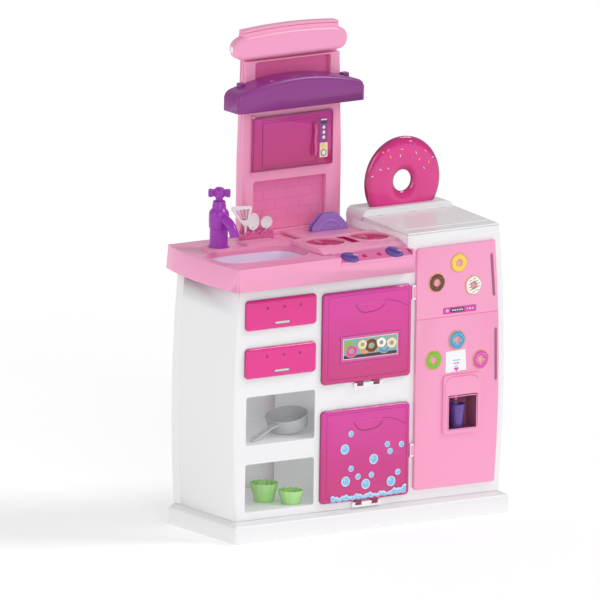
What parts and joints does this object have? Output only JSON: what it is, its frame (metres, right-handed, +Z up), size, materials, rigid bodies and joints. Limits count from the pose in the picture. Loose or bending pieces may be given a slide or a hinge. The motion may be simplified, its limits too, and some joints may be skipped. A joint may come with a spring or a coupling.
{
  "type": "toy kitchen",
  "caption": "Free-standing toy kitchen with sink and tap, hob, microwave tower and hood, drawers, open shelves, oven, dishwasher and tall fridge with a cup dispenser.",
  "frame": {"origin": "middle of the footprint of the whole toy, on the floor", "axes": "+X to the right seen from the front, +Y towards the back, +Z up"},
  "size_m": [0.69, 0.2944, 1.017],
  "materials": {
    "white_shell": "glossy white moulded plastic",
    "pink_shell": "satin pink moulded plastic",
    "magenta_clear": "glossy translucent magenta plastic",
    "purple_plastic": "glossy purple plastic",
    "violet_clear": "glossy translucent violet plastic",
    "green_clear": "translucent green plastic",
    "grey_plastic": "satin grey plastic",
    "lilac_plastic": "glossy pale lilac plastic",
    "white_tools": "glossy white plastic",
    "steel": "plain steel wire"
  },
  "bodies": {
    "cabinet": {"base_plinth": "white_shell", "left_side_panel": "white_shell", "right_side_panel": "white_shell", "back_panel": "white_shell", "left_front_frame": "white_shell", "middle_front_frame": "white_shell", "fridge_front_frame": "white_shell", "floor_panel": "white_shell", "cabinet_divider": "white_shell", "fridge_divider": "white_shell", "upper_drawer_deck": "white_shell", "lower_drawer_deck": "white_shell", "shelf_deck": "white_shell", "oven_deck": "white_shell", "fridge_shelf": "white_shell", "fridge_top": "white_shell", "water_tank": "white_shell", "countertop": "pink_shell", "hob_plate": "pink_shell", "plate_rack": "pink_shell", "plate_well": "pink_shell", "tower_panel": "pink_shell", "tower_back": "pink_shell", "crown": "pink_shell", "left_burner": "magenta_clear", "right_burner": "magenta_clear", "donut_sign": "magenta_clear", "utensil_rack": "magenta_clear", "microwave_turntable": "magenta_clear", "dish_basket": "magenta_clear", "hood": "purple_plastic", "faucet_body": "violet_clear", "oven_rack": "grey_plastic", "sound_unit": "grey_plastic", "sink_basin": "lilac_plastic", "oven_hinge_pin": "steel", "dishwasher_hinge_pin": "steel"},
    "upper_drawer": {"upper_drawer_front": "magenta_clear", "upper_drawer_tray": "white_shell"},
    "lower_drawer": {"lower_drawer_front": "magenta_clear", "lower_drawer_tray": "white_shell"},
    "oven_door": {"oven_door": "magenta_clear"},
    "dishwasher_door": {"dishwasher_door": "magenta_clear"},
    "microwave_door": {"microwave_door": "magenta_clear"},
    "fridge_door": {"fridge_door": "pink_shell", "dispenser_housing": "white_shell"},
    "dispenser_cup": {"dispenser_cup": "purple_plastic"},
    "faucet_handle": {"faucet_handle": "violet_clear"},
    "left_knob": {"left_knob": "purple_plastic"},
    "right_knob": {"right_knob": "purple_plastic"},
    "left_button": {"left_button": "magenta_clear"},
    "right_button": {"right_button": "magenta_clear"},
    "frying_pan": {"frying_pan": "grey_plastic"},
    "tall_cup": {"tall_cup": "green_clear"},
    "small_cup": {"small_cup": "green_clear"},
    "front_plate": {"front_plate": "purple_plastic"},
    "rear_plate": {"rear_plate": "purple_plastic"},
    "turner": {"turner": "white_tools"},
    "ladle": {"ladle": "white_tools"},
    "serving_spoon": {"serving_spoon": "white_tools"}
  },
  "joints": [
    {"name": "upper_drawer_slide", "type": "slide", "parent": "cabinet", "child": "upper_drawer", "axis": [0, -1, 0], "range_m": [0, 0.13]},
    {"name": "lower_drawer_slide", "type": "slide", "parent": "cabinet", "child": "lower_drawer", "axis": [0, -1, 0], "range_m": [0, 0.13]},
    {"name": "oven_door_hinge", "type": "hinge", "parent": "cabinet", "child": "oven_door", "pos_m": [-0.0025, -0.1188, 0.302], "axis": [1, 0, 0], "range_deg": [0, 90]},
    {"name": "dishwasher_door_hinge", "type": "hinge", "parent": "cabinet", "child": "dishwasher_door", "pos_m": [-0.0025, -0.1188, 0.054], "axis": [1, 0, 0], "range_deg": [0, 90]},
    {"name": "microwave_door_hinge", "type": "hinge", "parent": "cabinet", "child": "microwave_door", "pos_m": [-0.1276, 0.11955, 0.768], "axis": [0, 0, -1], "range_deg": [0, 110]},
    {"name": "fridge_door_hinge", "type": "hinge", "parent": "cabinet", "child": "fridge_door", "pos_m": [0.1135, -0.1188, 0.3], "axis": [0, 0, -1], "range_deg": [0, 85]},
    {"name": "dispenser_cup_slide", "type": "slide", "parent": "fridge_door", "child": "dispenser_cup", "axis": [0, -1, 0], "range_m": [0, 0.06]},
    {"name": "faucet_handle_turn", "type": "hinge", "parent": "cabinet", "child": "faucet_handle", "pos_m": [-0.2505, 0.0577, 0.69], "axis": [0, 0, 1], "range_deg": [-90, 90]},
    {"name": "left_knob_turn", "type": "hinge", "parent": "cabinet", "child": "left_knob", "pos_m": [-0.0529, -0.1288, 0.57082], "axis": [0, -0.3672, 0.9302], "range_deg": [-150, 150]},
    {"name": "right_knob_turn", "type": "hinge", "parent": "cabinet", "child": "right_knob", "pos_m": [0.0562, -0.1288, 0.57082], "axis": [0, -0.3672, 0.9302], "range_deg": [-150, 150]},
    {"name": "left_button_press", "type": "slide", "parent": "cabinet", "child": "left_button", "axis": [0, 0.3672, -0.9302], "range_m": [0, 0.002], "stiffness_N_per_m": 200, "springref_m": -0.0005},
    {"name": "right_button_press", "type": "slide", "parent": "cabinet", "child": "right_button", "axis": [0, 0.3672, -0.9302], "range_m": [0, 0.002], "stiffness_N_per_m": 200, "springref_m": -0.0005},
    {"name": "frying_pan_slide", "type": "slide", "parent": "cabinet", "child": "frying_pan", "axis": [-0.5, -0.866, 0], "range_m": [0, 0.19]},
    {"name": "tall_cup_slide", "type": "slide", "parent": "cabinet", "child": "tall_cup", "axis": [-0.58, -0.8146, 0], "range_m": [0, 0.16]},
    {"name": "small_cup_slide", "type": "slide", "parent": "cabinet", "child": "small_cup", "axis": [0, -1, 0], "range_m": [0, 0.12]},
    {"name": "front_plate_slide", "type": "slide", "parent": "cabinet", "child": "front_plate", "axis": [0, 0, 1], "range_m": [0, 0.1]},
    {"name": "rear_plate_slide", "type": "slide", "parent": "cabinet", "child": "rear_plate", "axis": [0, 0, 1], "range_m": [0, 0.1]},
    {"name": "turner_slide", "type": "slide", "parent": "cabinet", "child": "turner", "axis": [0, 0, 1], "range_m": [0, 0.076]},
    {"name": "ladle_slide", "type": "slide", "parent": "cabinet", "child": "ladle", "axis": [0, 0, 1], "range_m": [0, 0.076]},
    {"name": "serving_spoon_slide", "type": "slide", "parent": "cabinet", "child": "serving_spoon", "axis": [0, 0, 1], "range_m": [0, 0.076]}
  ]
}
